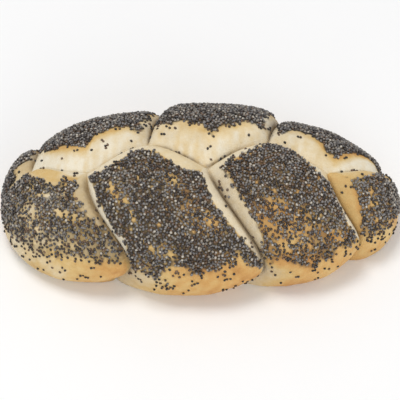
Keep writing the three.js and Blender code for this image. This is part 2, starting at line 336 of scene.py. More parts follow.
def fine_depth(station, across):
    """The slits at the bottom of the creases and the dips in the bare noses."""
    down = down_from_ridge(across)
    offset, _ = nearest_seam(station, across)
    seam = np.clip(1 - np.abs(offset) / SLIT_REACH, 0, 1) ** SLIT_POWER
    seam = seam * np.clip(down / (3 * SLIT_REACH), 0, 1)
    ridge = np.clip(1 - down / SLIT_REACH, 0, 1) ** SLIT_POWER
    turns = front_turns(station)
    aside = (turns - np.round(turns)) * LOBE_PITCH
    share = down / VALLEY_TOP
    valley = np.exp(-((aside / VALLEY_REACH) ** 2)) * share * np.exp(1 - share) * (across > 0)
    return np.maximum(SLIT_DEPTH * seam, RIDGE_SLIT * ridge) + VALLEY_DEPTH * valley


def crust_point(station, across):
    """A point of the crust, with its soft unevenness."""
    point = smooth_point(station, across)
    calm = np.clip(plan_fullness(point[..., 0]) * TIP_CALM, 0, 1)
    depth = (crease_depth(station, across) + fine_depth(station, across)) * calm + INSET
    lumps = waves(point, wavelength=26.0, count=14, seed=11)
    dimples = waves(point, wavelength=5.0, count=24, seed=12)
    depth -= LUMPS * lumps * calm + DIMPLES * dimples
    normal = normal_of(smooth_point, station, across)
    upper = np.clip((1 - np.abs(across)) / FOOT_BLEND, 0, 1)
    level = upper + (1 - upper) * FOOT_CREASE
    inward = normal * np.stack([level, level, upper], -1)
    return point - inward * depth[..., None]


# Where the crust is bare and where the seeds lie. Distances are in millimetres: down is the distance
# from the ridge towards a foot. The lists follow what the photograph shows along the roll.

# How wide the bare strips are on the left and right of each front seam, at these distances down
SEAM_KNOTS = [0, 6, 12, 18, 24, 28, 32, 38, 46]
BARE_LEFT = [
    [2.5, 3.9, 5, 4.4, 2.4, 1, 0, 0, 0],
    [1, 4.5, 5.6, 7.2, 5.9, 4.6, 3.9, 2.2, 1],
    [3, 3, 3.2, 3.4, 4, 4.4, 4.6, 3.4, 0.5],
]  # fmt: skip
BARE_RIGHT = [
    [0.7, 1.8, 2.7, 2.3, 2.1, 2.7, 3, 0.6, 0],
    [3.5, 4.6, 4.8, 4.8, 5, 4.4, 3.6, 1.2, 0],
    [5, 7.4, 7.2, 6.9, 4.6, 4.6, 2.6, 0.6, 0],
]  # fmt: skip
# How wide the bare crust is in front of the ridge and behind it, along the roll
RIDGE_STATIONS_FRONT = [
    -79, -75, -72.5, -70, -67, -64, -60, -57.5, -52, -49, -46, -42, -35, -28, -19, -13, -10, -6, 2, 7,
    20, 25, 27, 37, 45, 50, 54, 56, 59, 62, 70, 74, 78,
]  # fmt: skip
BARE_UNDER_RIDGE = [
    0, 0, 4, 6, 7, 9, 7.5, 4, 4.5, 1.5, 3, 5, 5, 3.2, 4.5, 9, 9.6, 8, 1.3, 3.5,
    4, 2, 0.3, 0.5, 4.5, 7, 8, 3, 2.4, 4.5, 5.5, 4, 0,
]  # fmt: skip
RIDGE_STATIONS_BACK = [
    -76, -74.7, -71, -66, -61, -55, -50, -48, -40, -33, -27, -23.5, -22, -18, -12, -2, 2, 5, 16, 22,
    28, 30, 34, 38, 47, 52, 57, 60, 65, 72, 76, 79,
]  # fmt: skip
BARE_OVER_RIDGE = [
    1, 15, 14, 11, 12, 11, 9.5, 14, 15, 12.5, 7, 7, 10.5, 9.5, 11.5, 12, 9.5, 11, 11, 9,
    6, 8, 9, 14, 15, 11, 7, 9, 13.5, 16, 15, 0,
]  # fmt: skip
LEFT_NOSE = -74.7  # the leftmost back seam
LEFT_STRIP = 15.0  # how far the bare strip on its left reaches down
BACK_BARE_LEFT = [4.5, 3.4, 2.8, 1]  # the bare strips left of the back seams, from left to right
BACK_BARE_RIGHT = 0.8

# Where the coat of seeds ends, down from the ridge, and how dense the single seeds below it are
FLOOR_STATIONS = [
    -84, -76, -70, -66, -60, -52, -48, -44, -40, -38, -36, -32, -30, -27, -24, -21, -18, -14, -11, -6, -3,
    0, 5, 9, 13, 16, 24, 27, 31, 34, 37, 44, 48, 51, 56, 60, 68, 76, 80,
]  # fmt: skip
SEED_FLOOR = [
    43, 46.5, 46, 42, 43, 43.5, 47, 49, 50, 48, 43, 42.5, 45, 47.5, 48, 45.5, 45.5, 44, 42.5, 41.5, 44.5,
    48, 44, 42, 45, 49, 51, 47, 48, 47.5, 42.5, 43.5, 43, 38, 40, 45, 46, 42, 38,
]  # fmt: skip
STRAY_STATIONS = [-86, -75, -50, -46, -38, -30, -24, -20, -14, -5, 0, 12, 25, 45, 52, 60, 80]
STRAY_SHARE = [
    0.12, 0.1, 0.04, 0.04, 0.1, 0.06, 0.02, 0.02, 0.05, 0.08, 0.03, 0.05, 0.08, 0.1, 0.06, 0.06, 0.1,
]  # fmt: skip
# Small groups of seeds on bare crust: station, distance behind the ridge, half length, half width, share
SEED_SPOTS = [
    (4.6, -11, 1.1, 3.5, 0.6), (-10, 0.4, 3, 0.7, 0.5), (8.5, 0.2, 3, 0.7, 0.6), (-1, 1.5, 0.8, 0.8, 0.7),
    (58, -0.6, 4, 0.8, 0.5), (67, 0.4, 6, 0.8, 0.3), (-62, -0.4, 8, 1, 0.15), (-55, -1.5, 3, 1.5, 0.35),
    (-35, -56, 2.5, 4, 0.5), (-26, -57, 1.4, 1.6, 0.4), (-14.5, -58, 3, 2, 0.45), (23.5, -51, 2, 2.5, 0.5),
    (33, -46, 1.8, 3, 0.4), (12, -52, 1, 1.2, 0.6), (66, -44, 9, 8, 0.4), (-25.5, 14, 2, 3, 0.4),
    (29, 12, 2, 3, 0.35), (61, 8.5, 2, 1.5, 0.4), (-42, 8, 1.5, 2, 0.25), (32.5, 9, 2, 1.2, 0.6),
    (-32, 0, 8, 0.8, 0.3), (-16, -48, 1.8, 1.2, 0.7), (-76, -46, 4, 4, 0.2), (-52, -25, 3, 7, 0.2),
]  # fmt: skip
STRAY_RISE = (30.0, 8.0)  # from where on down the single seeds get as dense as STRAY_SHARE says
STRAY_FLOOR = 64.0  # none lie lower
STRAY_FLOOR_RUN = 2.0
STRAY_CLUMPS = 0.9  # how much they lie in clumps
STRAY_MOST = 2.5  # how many times as dense they get there at most
NOSE_STRAYS = 0.02  # their density higher up
BACK_FLOOR = 47.0  # where the coat ends at the back
BACK_FLOOR_SWING = 3.5  # how far it goes up and down

# How dense the coat is on the front lobes, from left to right
FRONT_COVER = [0.93, 1.0, 1.0, 0.97]
THIN_START = [26, 36, 20, 28]  # where it starts to thin out
THIN_RUN = 20.0
THIN_LOSS = [0.26, 0.12, 0.2, 0.4]
PATCHES_FROM = [0.95, 1.25, 1.1, 0.9]  # the lower, the more small gaps
PATCHES_IN_THIN = 1.1  # how much more there are where the coat thins out
PATCH_SIZE = 4.5
PATCH_RAGGED = 0.7
PATCH_EDGE = 0.3
PATCH_LOSS = 0.65
SEED_SHADOW_DARKNESS = [0.6, 0.92, 0.85, 0.5]  # how dark the painted shadow of the seeds makes the crust between them
SEED_SHADOW_FROM = 0.35  # how dense the coat is where this starts

# Where the painted shadow between the seeds is lifted, so the crust stays light and golden: station, down,
# half length, half width, share
WARM = [
    (16, 31, 11, 11, 0.65), (31, 32, 7, 8, 0.3), (42, 37, 5, 4, 0.7), (-8, 41, 6, 4, 0.6),
    (-35, 36.5, 5, 3, 0.6), (-14, 27, 9, 5, 0.6), (-17, 15, 6, 3, 0.5), (-38, 16, 3, 5, 0.5),
    (-61, 22.5, 5, 3, 0.8), (-74, 26, 5, 7, 0.5),
]  # fmt: skip
WARM_EDGE = 1.5  # what oval() says where such a place ends

# Over what distance the coat gets dense from its edge, and how ragged the edge is
EDGE_FRONT = 0.7
EDGE_BACK = 2.2
RAGGED_LARGE = 1.1
RAGGED_SMALL = 0.6
FLOOR_RAGGED = 1.6
FLOOR_RUN = 3.0
GAP_RAGGED = 0.9

# Gaps and thin places in the coat of the front lobes: station, down, half length, half width, share lost
GAPS = [
    (-67.5, 15, 3.5, 1.5, 0.7), (-61, 22.5, 4, 2.4, 1), (-74.5, 24, 4, 7, 0.35), (-66, 36, 5, 3, 0.3),
    (-73, 38, 4, 6, 0.3), (-39.5, 14.5, 1.3, 4, 0.8), (-37, 19, 1.3, 1.5, 0.6), (-37.8, 25, 1.2, 2, 0.75),
    (-37.5, 35.5, 1.4, 1.6, 0.7), (-33, 39, 2.6, 2, 0.6), (-17, 15, 2.2, 1.8, 0.65),
    (-11, 26, 3.6, 2.4, 0.6), (-15, 21, 6, 4, 0.2), (-7.5, 41, 2.4, 3, 0.55), (-43, 45, 5, 6, 0.3),
    (13, 38, 3, 4.5, 0.6), (19, 23, 6, 2.6, 0.4), (12, 29, 3.5, 5, 0.4), (20, 33, 5, 3.5, 0.35),
    (23, 45.5, 2.6, 2.6, 0.75), (42, 37, 3, 2, 0.75), (38, 38, 3.5, 2, 0.35), (28, 30, 5, 4, 0.2),
    (10, 47, 2.5, 4, 0.6), (68, 21.5, 2.6, 1.2, 0.8), (66.5, 31, 2, 3, 0.7), (69, 12, 1.6, 3, 0.5),
    (64.5, 26, 1.5, 2, 0.4),
]  # fmt: skip


def back_seam(station):
    """The number of the nearest back seam, from the left."""
    return np.clip(np.round(front_turns(station) + 0.5).astype(int) + 1, 0, 3)


def front_lobe(station):
    """The number of the front lobe, from the left."""
    return np.clip(np.floor(front_turns(station)).astype(int) + 2, 0, 3)


def margins(station, across):
    """How far from its seam and from the ridge the seeded ground holds a point: below 0 it is bare."""
    down = down_from_ridge(across)
    offset, _ = nearest_seam(station, across)
    left = on_seams(station, [np.interp(down, SEAM_KNOTS, widths) for widths in BARE_LEFT])
    right = on_seams(station, [np.interp(down, SEAM_KNOTS, widths) for widths in BARE_RIGHT])
    left = np.where(across > 0, np.array(BACK_BARE_LEFT)[back_seam(station)], left)
    left = np.where((across > 0) & (station < LEFT_NOSE) & (down > LEFT_STRIP), 0, left)
    right = np.where(across > 0, BACK_BARE_RIGHT, right)
    ridge = np.where(
        across > 0,
        np.interp(station, RIDGE_STATIONS_BACK, BARE_OVER_RIDGE),
        np.interp(station, RIDGE_STATIONS_FRONT, BARE_UNDER_RIDGE),
    )
    return np.abs(offset) - np.where(offset < 0, left, right), down - ridge


def oval(station, way, place, half_length, half_width):
    """0 in the middle of an oval, 1 on its edge and more outside."""
    return ((station - place[0]) / half_length) ** 2 + ((way - place[1]) / half_width) ** 2


def seeded_floor(station, across, points):
    """How far down the coat of seeds reaches."""
    back_floor = BACK_FLOOR + BACK_FLOOR_SWING * waves(points, wavelength=24.0, count=20, seed=27)
    return np.where(across < 0, np.interp(station, FLOOR_STATIONS, SEED_FLOOR), back_floor)


def coat(station, across, points):
    """How dense the coat of seeds is, from 0 to 1."""
    down = down_from_ridge(across)
    front = across < 0
    ragged = RAGGED_LARGE * waves(points, wavelength=4.0, count=30, seed=21)
    ragged = ragged + RAGGED_SMALL * waves(points, wavelength=1.6, count=30, seed=22)
    edge = np.minimum(*margins(station, across)) + ragged
    edge = np.clip(edge / np.where(front, EDGE_FRONT, EDGE_BACK), 0, 1)
    lobe = front_lobe(station)
    thin = rising(down, np.array(THIN_START)[lobe], THIN_RUN) * np.array(THIN_LOSS)[lobe]
    full = np.where(front, np.array(FRONT_COVER)[lobe] - thin, 1.0)
    fine = waves(points, wavelength=2.2, count=40, seed=24)
    patchy = waves(points, wavelength=PATCH_SIZE, count=40, seed=23) + PATCH_RAGGED * fine
    from_level = np.array(PATCHES_FROM)[lobe] - PATCHES_IN_THIN * thin
    full = full * (1 - PATCH_LOSS * rising(patchy, from_level, PATCH_EDGE) * front)
    for *place, half_length, half_width, lost in GAPS:
        away = oval(station, down, place, half_length, half_width)
        full = full * (1 - lost * np.clip(1 - away + GAP_RAGGED * fine, 0, 1) * front)
    floor = seeded_floor(station, across, points)
    low = np.clip((floor + FLOOR_RAGGED * ragged - down) / FLOOR_RUN + 0.5, 0, 1)
    return full * edge * low


def cover(station, across, points):
    """Share of the places for seeds that hold one."""
    down = down_from_ridge(across)
    below = rising(down, *STRAY_RISE)
    strays = NOSE_STRAYS + (np.interp(station, STRAY_STATIONS, STRAY_SHARE) - NOSE_STRAYS) * below
    strays = strays * np.clip((STRAY_FLOOR - down) / STRAY_FLOOR_RUN, 0, 1)
    clumps = waves(points, wavelength=9.0, count=30, seed=26)
    strays = strays * np.clip(1 + STRAY_CLUMPS * clumps, 0, STRAY_MOST)
    for *place, half_length, half_width, share in SEED_SPOTS:
        away = oval(station, across * HALF_SECTION, place, half_length, half_width)
        strays = np.maximum(strays, share * (away < 1))
    return np.maximum(coat(station, across, points), strays)


def piled_cover(station, across, points):
    """The same for the seeds that lie on others, where the coat is thick."""
    return PILED_SHARE * rising(coat(station, across, points), *PILED_COAT_RISE)


# How the crust is baked, and where shade is painted on it. Baked runs from 0, cream, to 1, dark golden
# brown.

# The seeded ground of the front lobes along the roll, on its foot and in its coat
BAKED_STATIONS = [-86, -76, -60, -49, -30, 0, 10, 45, 60, 86]
# The foot's right end is kept paler partly as painted light, for light thrown up from the table
BAKED_FOOT = [0.2, 0.32, 0.6, 0.7, 0.66, 0.76, 0.78, 0.7, 0.58, 0.5]
BAKED_COAT = [0.24, 0.3, 0.36, 0.5, 0.62, 0.66, 0.72, 0.66, 0.64, 0.66]
FOOT_RISE = (40.0, 6.0)  # from where on down the coat's tone turns to the foot's
UNEVEN_LARGE = 0.14
UNEVEN_SMALL = 0.07

# The rims of the back lobes' coats, and how far they reach onto the bare noses
RIM_STATIONS = [-74, -60, -50, -40, -30, -22, -14, 3, 14, 26, 34, 46, 56, 64, 74, 80]
RIM_TONE = [0.25, 0.6, 0.55, 0.42, 0.35, 0.2, 0.44, 0.44, 0.36, 0.15, 0.28, 0.4, 0.6, 0.85, 0.6, 0.4]
RIM_WIDTH = [3, 7, 5, 4.5, 3, 3, 5, 5, 4, 2, 3, 3.5, 5, 8, 5, 3]
RIM_POWER = 1.3
RIM_FRONT = 1.2  # within the seeded ground, where a pale strip turns golden
RIM_OUTER = 2.0  # the same outside the seeded ground of the outermost front lobes
BACK_FOOT_TONE = 0.6
BACK_FOOT_RISE = (20.0, 15.0)  # from where on down the back turns to its foot's tone

# The bare crust: under the ridge, beside the front seams, on the noses and left of those
RIDGE_TONE_STATIONS = [-80, -74, -72, -61, -56, -30, -14, 0, 10, 50, 56, 72, 80]
RIDGE_TONE = [0.4, 0.3, 0.48, 0.48, 0.1, 0.1, 0.22, 0.2, 0.1, 0.1, 0.4, 0.45, 0.5]
RIDGE_CREAM = 1.6  # the noses' cream goes on this far below the ridge
STRIP_TONE_LEFT = [0.26, 0.1, 0.0]
STRIP_TONE_RIGHT = [0.0, 0.14, 0.56]
NOSE_STATIONS = [-74, -50, -30, -22, -10, 2, 10, 26, 34, 50, 64, 76]
NOSE_TONE = [0.0, 0.06, 0.12, 0.14, 0.18, 0.18, 0.12, 0.12, 0.16, 0.2, 0.06, 0.03]
# Painted shade on the noses
NOSE_SHADE = [0.02, 0.03, 0.04, 0.08, 0.08, 0.08, 0.03, 0.06, 0.06, 0.06, 0.02, 0.02]
NOSE_SHADE_UNEVEN = 0.8
STREAKS = 0.09  # faint streaks across the noses
STREAK_WAY = np.array([1, 0.25, 0.25])
LEFT_TONE = 0.3  # left of the leftmost back seam

# A pale wedge comes out at the foot, right of a front seam: how much of it, for the seams from the left
WEDGE = [1, 1, 0]
WEDGE_REACH = 16.0
WEDGE_RISE = (44.0, 7.0)
WEDGE_PALE = 0.85
# Painted shade over the pale wedge
WEDGE_SHADE = 0.3

# Painted olive-brown shade on the strips beside the seams, darkest at the crease, and how far it reaches
STRIP_SHADE_LEFT = [0.44, 0.18, 0.0]
STRIP_SHADE_RIGHT = [0.0, 0.38, 0.26]
STRIP_SHADE_REACH = [16.0, 14.0, 14.0]
STRIP_SHADE_RUN = 8.0  # it comes up within this distance from the ridge
BACK_STRIP_SHADE = 0.4
BACK_STRIP_REACH = 6.0

# Painted shade: the dark lines at the bottom of the creases and under the noses
CREASE_SHADE = [0.25, 0.5, 0.3]
CREASE_ASIDE = [0.9, 0.6, 0.0]  # how far left of a front crease it is darkest
CREASE_WIDTH = 0.9
CREASE_RUN = 6.0
BACK_CREASE_SHADE = 0.3
RIDGE_SHADE_STATIONS = [-32, -26, -6, 0, 4, 14, 20]
RIDGE_SHADE = [0.06, 0.32, 0.4, 0.2, 0.5, 0.4, 0.06]
RIDGE_SHADE_UNEVEN = 0.9

# Painted shade darkens the foot towards the table, and the underside is even
FOOT_SHADE = 0.1
FOOT_SHADE_RISE = (54.0, 12.0)
UNDERSIDE = {"baked": 0.74, "shade": 0.08, "coat": 0.0}
UNDERSIDE_POWER = 4  # how soon it is reached from the edge of the foot


def foot_share(across):
    """0 in the coat of the front lobes and 1 on their foot."""
    return rising(down_from_ridge(across), *FOOT_RISE)


def seeded_tone(station, across, points):
    """How baked the seeded ground and the foot are."""
    down = down_from_ridge(across)
    rim_tone = np.interp(station, RIM_STATIONS, RIM_TONE)
    back_foot = rising(down, *BACK_FOOT_RISE)
    rim_tone = rim_tone + (BACK_FOOT_TONE - rim_tone) * back_foot
    upper_tone = np.interp(station, BAKED_STATIONS, BAKED_COAT)
    foot_tone = np.interp(station, BAKED_STATIONS, BAKED_FOOT)
    front_tone = upper_tone + (foot_tone - upper_tone) * foot_share(across)
    tone = np.where(across < 0, front_tone, rim_tone)
    large = waves(points, wavelength=16.0, count=24, seed=31)
    small = waves(points, wavelength=4.5, count=24, seed=32)
    return tone + UNEVEN_LARGE * large + UNEVEN_SMALL * small


def bare_tone(station, across, points):
    """How baked the bare strips, the crust under the ridge and the noses are."""
    down = down_from_ridge(across)
    offset, _ = nearest_seam(station, across)
    from_seam, from_ridge = margins(station, across)
    strip = np.where(offset < 0, on_seams(station, STRIP_TONE_LEFT), on_seams(station, STRIP_TONE_RIGHT))
    nose = np.interp(station, NOSE_STATIONS, NOSE_TONE)
    ridge_tone = np.interp(station, RIDGE_TONE_STATIONS, RIDGE_TONE)
    ridge_tone = nose + (ridge_tone - nose) * np.clip(down / RIDGE_CREAM, 0, 1)
    front_tone = np.where(from_seam < from_ridge, strip, ridge_tone)
    nose = nose + STREAKS * waves(points * STREAK_WAY, wavelength=2.6, count=40, seed=34)
    return np.where(across < 0, front_tone, np.where(station < LEFT_NOSE, LEFT_TONE, nose))


def seeded_share(station, across):
    """0 on the bare crust and 1 on the seeded ground."""
    front = across < 0
    from_seam, from_ridge = margins(station, across)
    margin = np.minimum(from_seam, from_ridge)
    outermost = front & (np.abs(station - FIRST_SEAM) > LOBE_PITCH)
    outer = outermost & ((station > 0) | (from_ridge < from_seam))
    rim_width = np.where(front, RIM_OUTER, np.interp(station, RIM_STATIONS, RIM_WIDTH))
    wide = np.clip(margin / rim_width + 1, 0, 1) ** RIM_POWER
    return np.where(front & ~outer, np.clip(margin / RIM_FRONT, 0, 1), wide)


def pale_wedge(station, across):
    """How far a point lies in a pale wedge, from 0 to 1."""
    offset, _ = nearest_seam(station, across)
    beside = np.clip(1 - np.where(offset > 0, offset / WEDGE_REACH, 1), 0, 1)
    below = rising(down_from_ridge(across), *WEDGE_RISE)
    return beside * below * on_seams(station, WEDGE) * (across < 0)


def strip_shade(station, across):
    """The painted shade of the strips beside the seams."""
    front = across < 0
    offset, _ = nearest_seam(station, across)
    left = on_seams(station, STRIP_SHADE_LEFT)
    right = on_seams(station, STRIP_SHADE_RIGHT)
    front_shade = np.where(offset < 0, left, right) * (1 - foot_share(across))
    back_shade = np.where(offset < 0, BACK_STRIP_SHADE, 0)
    reach = np.where(front, on_seams(station, STRIP_SHADE_REACH), BACK_STRIP_REACH)
    fading = np.clip(1 - np.abs(offset) / np.maximum(reach, 1), 0, 1)
    coming = np.clip(down_from_ridge(across) / STRIP_SHADE_RUN, 0, 1)
    return np.where(front, front_shade, back_shade) * fading * coming


def crease_shade(station, across, points):
    """The painted shade of the lines at the bottom of the seams and under the noses."""
    down = down_from_ridge(across)
    front = across < 0
    offset, _ = nearest_seam(station, across)
    beside = np.where(front, offset + on_seams(station, CREASE_ASIDE), offset)
    line = np.exp(-((beside / CREASE_WIDTH) ** 2)) * np.clip(down / CREASE_RUN, 0, 1)
    line = line * np.where(front, on_seams(station, CREASE_SHADE), BACK_CREASE_SHADE)
    ridge_line = np.exp(-((down / CREASE_WIDTH) ** 2))
    ridge_line = ridge_line * np.interp(station, RIDGE_SHADE_STATIONS, RIDGE_SHADE)
    uneven = waves(points, wavelength=3.5, count=20, seed=33)
    return np.maximum(line, ridge_line * (1 + RIDGE_SHADE_UNEVEN * uneven))


def nose_shade(station, across, points):
    """The soft, uneven painted shade of the noses."""
    uneven = waves(points, wavelength=7.0, count=24, seed=35)
    shade = np.interp(station, NOSE_STATIONS, NOSE_SHADE) * (1 + NOSE_SHADE_UNEVEN * uneven)
    return shade * (across >= 0)


def painted_seed_shadow(station, across, points):
    """How dark the painted shadow of the seeds makes the crust under and between them."""
    down = down_from_ridge(across)
    front = across < 0
    dark = rising(coat(station, across, points), SEED_SHADOW_FROM, 1 - SEED_SHADOW_FROM)
    dark = dark * np.where(front, np.array(SEED_SHADOW_DARKNESS)[front_lobe(station)], 1)
    for *place, half_length, half_width, share in WARM:
        away = oval(station, down, place, half_length, half_width)
        dark = dark * (1 - share * np.clip(WARM_EDGE - away, 0, 1) * front)
    return dark


def crust_values(station, across, points):
    """For each point, how baked it is, how much painted shade it gets, and how dark the painted shadow of
    the seeds makes it.
    """
    bare = bare_tone(station, across, points)
    tone = bare + (seeded_tone(station, across, points) - bare) * seeded_share(station, across)
    wedge = pale_wedge(station, across)
    tone = tone * (1 - WEDGE_PALE * wedge)
    # Painted shade of the foot, towards the table
    under = FOOT_SHADE * rising(down_from_ridge(across), *FOOT_SHADE_RISE)
    shade = np.maximum(np.maximum(strip_shade(station, across), WEDGE_SHADE * wedge), under)
    shade = shade + crease_shade(station, across, points) + nose_shade(station, across, points)
    # The coat value carries the painted shadow of the seeds on the crust
    dark = painted_seed_shadow(station, across, points)
    return {"baked": np.clip(tone, 0, 1), "shade": np.clip(shade, 0, 1), "coat": dark}


# Mesh making
def add_object(name, mesh):
    piece = bpy.data.objects.new(name, mesh)
    bpy.context.scene.collection.objects.link(piece)
    return piece


def make_mesh(name, points, faces, values):
    """A smooth mesh in metres, with named values for each point."""
    mesh = bpy.data.meshes.new(name)
    mesh.from_pydata((points * MM).tolist(), [], faces)
    mesh.shade_smooth()
    for key, numbers in values.items():
        layer = mesh.attributes.new(key, "FLOAT", "POINT")
        layer.data.foreach_set("value", numbers.astype(np.float32))
    return mesh


def crowded(count, crowding):
    """Rising shares from 0 to below 1 that lie closest together at both ends."""
    share = np.arange(count) / count
    return share - crowding * np.sin(2 * math.pi * share) / (2 * math.pi)


def fine_stations():
    """Columns from tip to tip, closest together at the seams and at the tips."""
    half = LOBE_PITCH / 2
    steps = crowded(COLUMNS_PER_LOBE // 2, SEAM_CROWDING)
    found = np.concatenate([FIRST_SEAM + (turn + steps) * half for turn in range(-HALF_LOBES, HALF_LOBES)])
    found = found[np.abs(found) < (1 - TIP_SHARE) * LENGTH / 2]
    to_tip = 1 - np.linspace(0, TIP_CLOSEST, TIP_COLUMNS)
    ends = LENGTH / 2 * (1 - TIP_SHARE * to_tip**2)
    return np.sort(np.concatenate([found, ends, -ends]))


def fine_rows():
    """Rows from the front foot over the ridge to the back foot, closest together at the ridge."""
    share = np.arange(1, ROWS_PER_SIDE + 1) / ROWS_PER_SIDE
    half = share - RIDGE_CROWDING * np.sin(math.pi * share) / math.pi
    return np.concatenate([-half[::-1], [0], half])


def crust_shift():
    """What brings the crust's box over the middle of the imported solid's, in plan."""
    station, across = np.meshgrid(fine_stations(), fine_rows(), indexing="ij")
    points = crust_point(station, across).reshape(-1, 3)
    low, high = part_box(NODE)
    middle = (np.array(low) + np.array(high)) / 2 / MM
    shift = middle - (points.min(0) + points.max(0)) / 2
    return np.array([shift[0], shift[1], 0])


def with_foot(field, share):
    """Closes a field of points or values from its last row, at the back foot, to its first one."""
    return np.concatenate([field, field[:, -1:] * (1 - share) + field[:, :1] * share], 1)


def point_values(field, share, even):
    """A value for each point of the crust, where the underside turns to an even one."""
    around = with_foot(field, share)
    foot = around[:, -FOOT_ROWS:]
    around[:, -FOOT_ROWS:] = even + (foot - even) * (2 * share - 1) ** UNDERSIDE_POWER
    return np.concatenate([around.reshape(-1), field[[0, -1]].mean(1)])


def crust_faces(count, around):
    """Faces between neighbouring columns of points, and two fans that close the tips."""
    column, row = np.meshgrid(np.arange(count - 1), np.arange(around), indexing="ij")
    first = column * around + row
    second = column * around + (row + 1) % around
    faces = np.stack([first, first + around, second + around, second], -1).reshape(-1, 4).tolist()
    left = count * around
    last = (count - 1) * around
    for step in range(around):
        after = (step + 1) % around
        faces.append([left, step, after])
        faces.append([left + 1, last + after, last + step])
    return faces


def make_crust(shift):
    station, across = np.meshgrid(fine_stations(), fine_rows(), indexing="ij")
    skin = crust_point(station, across)
    share = np.arange(1, FOOT_ROWS + 1) / (FOOT_ROWS + 1)
    rings = with_foot(skin, share[:, None])
    tip_height = float(belly_height(np.array(LENGTH / 2)))
    tips = [[side * (LENGTH / 2 - INSET), 0, tip_height] for side in (-1, 1)]
    points = np.concatenate([rings.reshape(-1, 3), tips]) + shift
    fields = crust_values(station, across, skin)
    values = {key: point_values(field, share, UNDERSIDE[key]) for key, field in fields.items()}
    faces = crust_faces(*rings.shape[:2])
    return add_object("crust", make_mesh("crust", points, faces, values))


# Seeds
def seed_form():
    """Points and faces of one kidney-shaped seed, 1 long, lying flat."""
    points = [[0, 0, 0.5]]
    for ring in range(1, SEED_RINGS):
        turn = math.pi * ring / SEED_RINGS
        for side in range(SEED_SIDES):
            angle = 2 * math.pi * side / SEED_SIDES
            reach = 0.5 * math.sin(turn)
            points.append([reach * math.cos(angle), reach * math.sin(angle), 0.5 * math.cos(turn)])
    points.append([0, 0, -0.5])
    points = np.array(points)
    points[:, 1] += SEED_BEND * points[:, 0] ** 2 - SEED_BEND_BACK
    faces = []
    last = len(points) - 1
    for side in range(SEED_SIDES):
        after = (side + 1) % SEED_SIDES
        faces.append([0, 1 + side, 1 + after])
        for ring in range(SEED_RINGS - 2):
            upper = 1 + ring * SEED_SIDES
            lower = upper + SEED_SIDES
            faces.append([upper + side, lower + side, lower + after, upper + after])
        base = 1 + (SEED_RINGS - 2) * SEED_SIDES
        faces.append([base + side, last, base + after])
    return points, faces


def is_clear(point, cell, cells, spacing):
    """Whether no point in the cells around it is closer than the spacing."""
    x, y, z = point
    for i, j, k in product((-1, 0, 1), repeat=3):
        for ox, oy, oz in cells.get((cell[0] + i, cell[1] + j, cell[2] + k), ()):
            if (x - ox) ** 2 + (y - oy) ** 2 + (z - oz) ** 2 < spacing**2:
                return False
    return True


def spaced(points, spacing):
    """The indices of points that keep a distance, taken in their order."""
    cells = {}
    kept = []
    own_cells = np.floor(points / spacing).astype(int)
    for index, (cell, point) in enumerate(zip(own_cells.tolist(), points.tolist())):
        if is_clear(point, cell, cells, spacing):
            cells.setdefault(tuple(cell), []).append(point)
            kept.append(index)
    return np.array(kept)


def scatter(draw, tries, spacing, wanted):
    """Places for seeds that keep a distance, where wanted says how likely a place is to hold one."""
    station = draw.uniform(-LENGTH / 2 + SEED_END, LENGTH / 2 - SEED_END, tries)
    across = draw.uniform(-SEED_LOWEST, SEED_LOWEST, tries)
    points = crust_point(station, across)
    kept = spaced(points, spacing)
    station, across, points = station[kept], across[kept], points[kept]
    likely = wanted(station, across, points)
    kept = draw.uniform(size=len(points)) < likely
    station, across, points, likely = station[kept], across[kept], points[kept], likely[kept]
    normal = unit(normal_of(crust_point, station, across) + SEED_TILT * draw.normal(size=points.shape))
    return points, normal, likely


def place_seeds(draw):
    """For each seed its place, normal, height, kind's number, and how far it is a single one."""
    lower, lower_normal, likely = scatter(draw, SEED_TRIES, SEED_SPACING, cover)
    piled, piled_normal, _ = scatter(draw, PILED_TRIES, PILED_SPACING, piled_cover)
    height = [
        SEED_HEIGHT + draw.uniform(*SEED_HEIGHT_RANGE, len(lower)),
        PILED_HEIGHT + draw.uniform(*PILED_HEIGHT_RANGE, len(piled)),
    ]
    dense = rising(likely, *LONE_RISE)
    pick = [
        draw.uniform(size=len(lower)) * (LONE_KINDS + (COAT_KINDS - LONE_KINDS) * dense),
        draw.uniform(PILED_KINDS, 1, len(piled)),
    ]
    lone = [1 - dense, np.zeros(len(piled))]
    columns = ([lower, piled], [lower_normal, piled_normal], height, pick, lone)
    return [np.concatenate(both) for both in columns]


def shape_seeds(draw, form, places, normal, height, shift):
    """The points of every seed, turned and sized at random and set on the crust."""
    side = unit(np.cross(normal, unit(draw.normal(size=normal.shape))))
    turns = np.stack([side, np.cross(normal, side), normal], -1)
    sizes = SEED_SIZE * draw.normal(1, SEED_SPREAD, places.shape)
    middles = places + normal * (height * sizes[:, 2])[:, None] + shift
    return np.einsum("nij,nkj->nki", turns, form[None] * sizes[:, None]) + middles[:, None]


def join_seeds(name, points, faces, tones_and_top_light):
    """One piece that holds the seeds of a kind, each paler at its top as painted light."""
    count, corners = points.shape[:2]
    joined = [[corner + index * corners for corner in face] for index in range(count) for face in faces]
    return add_object(name, make_mesh(name, points.reshape(-1, 3), joined, {"tone": tones_and_top_light.reshape(-1)}))


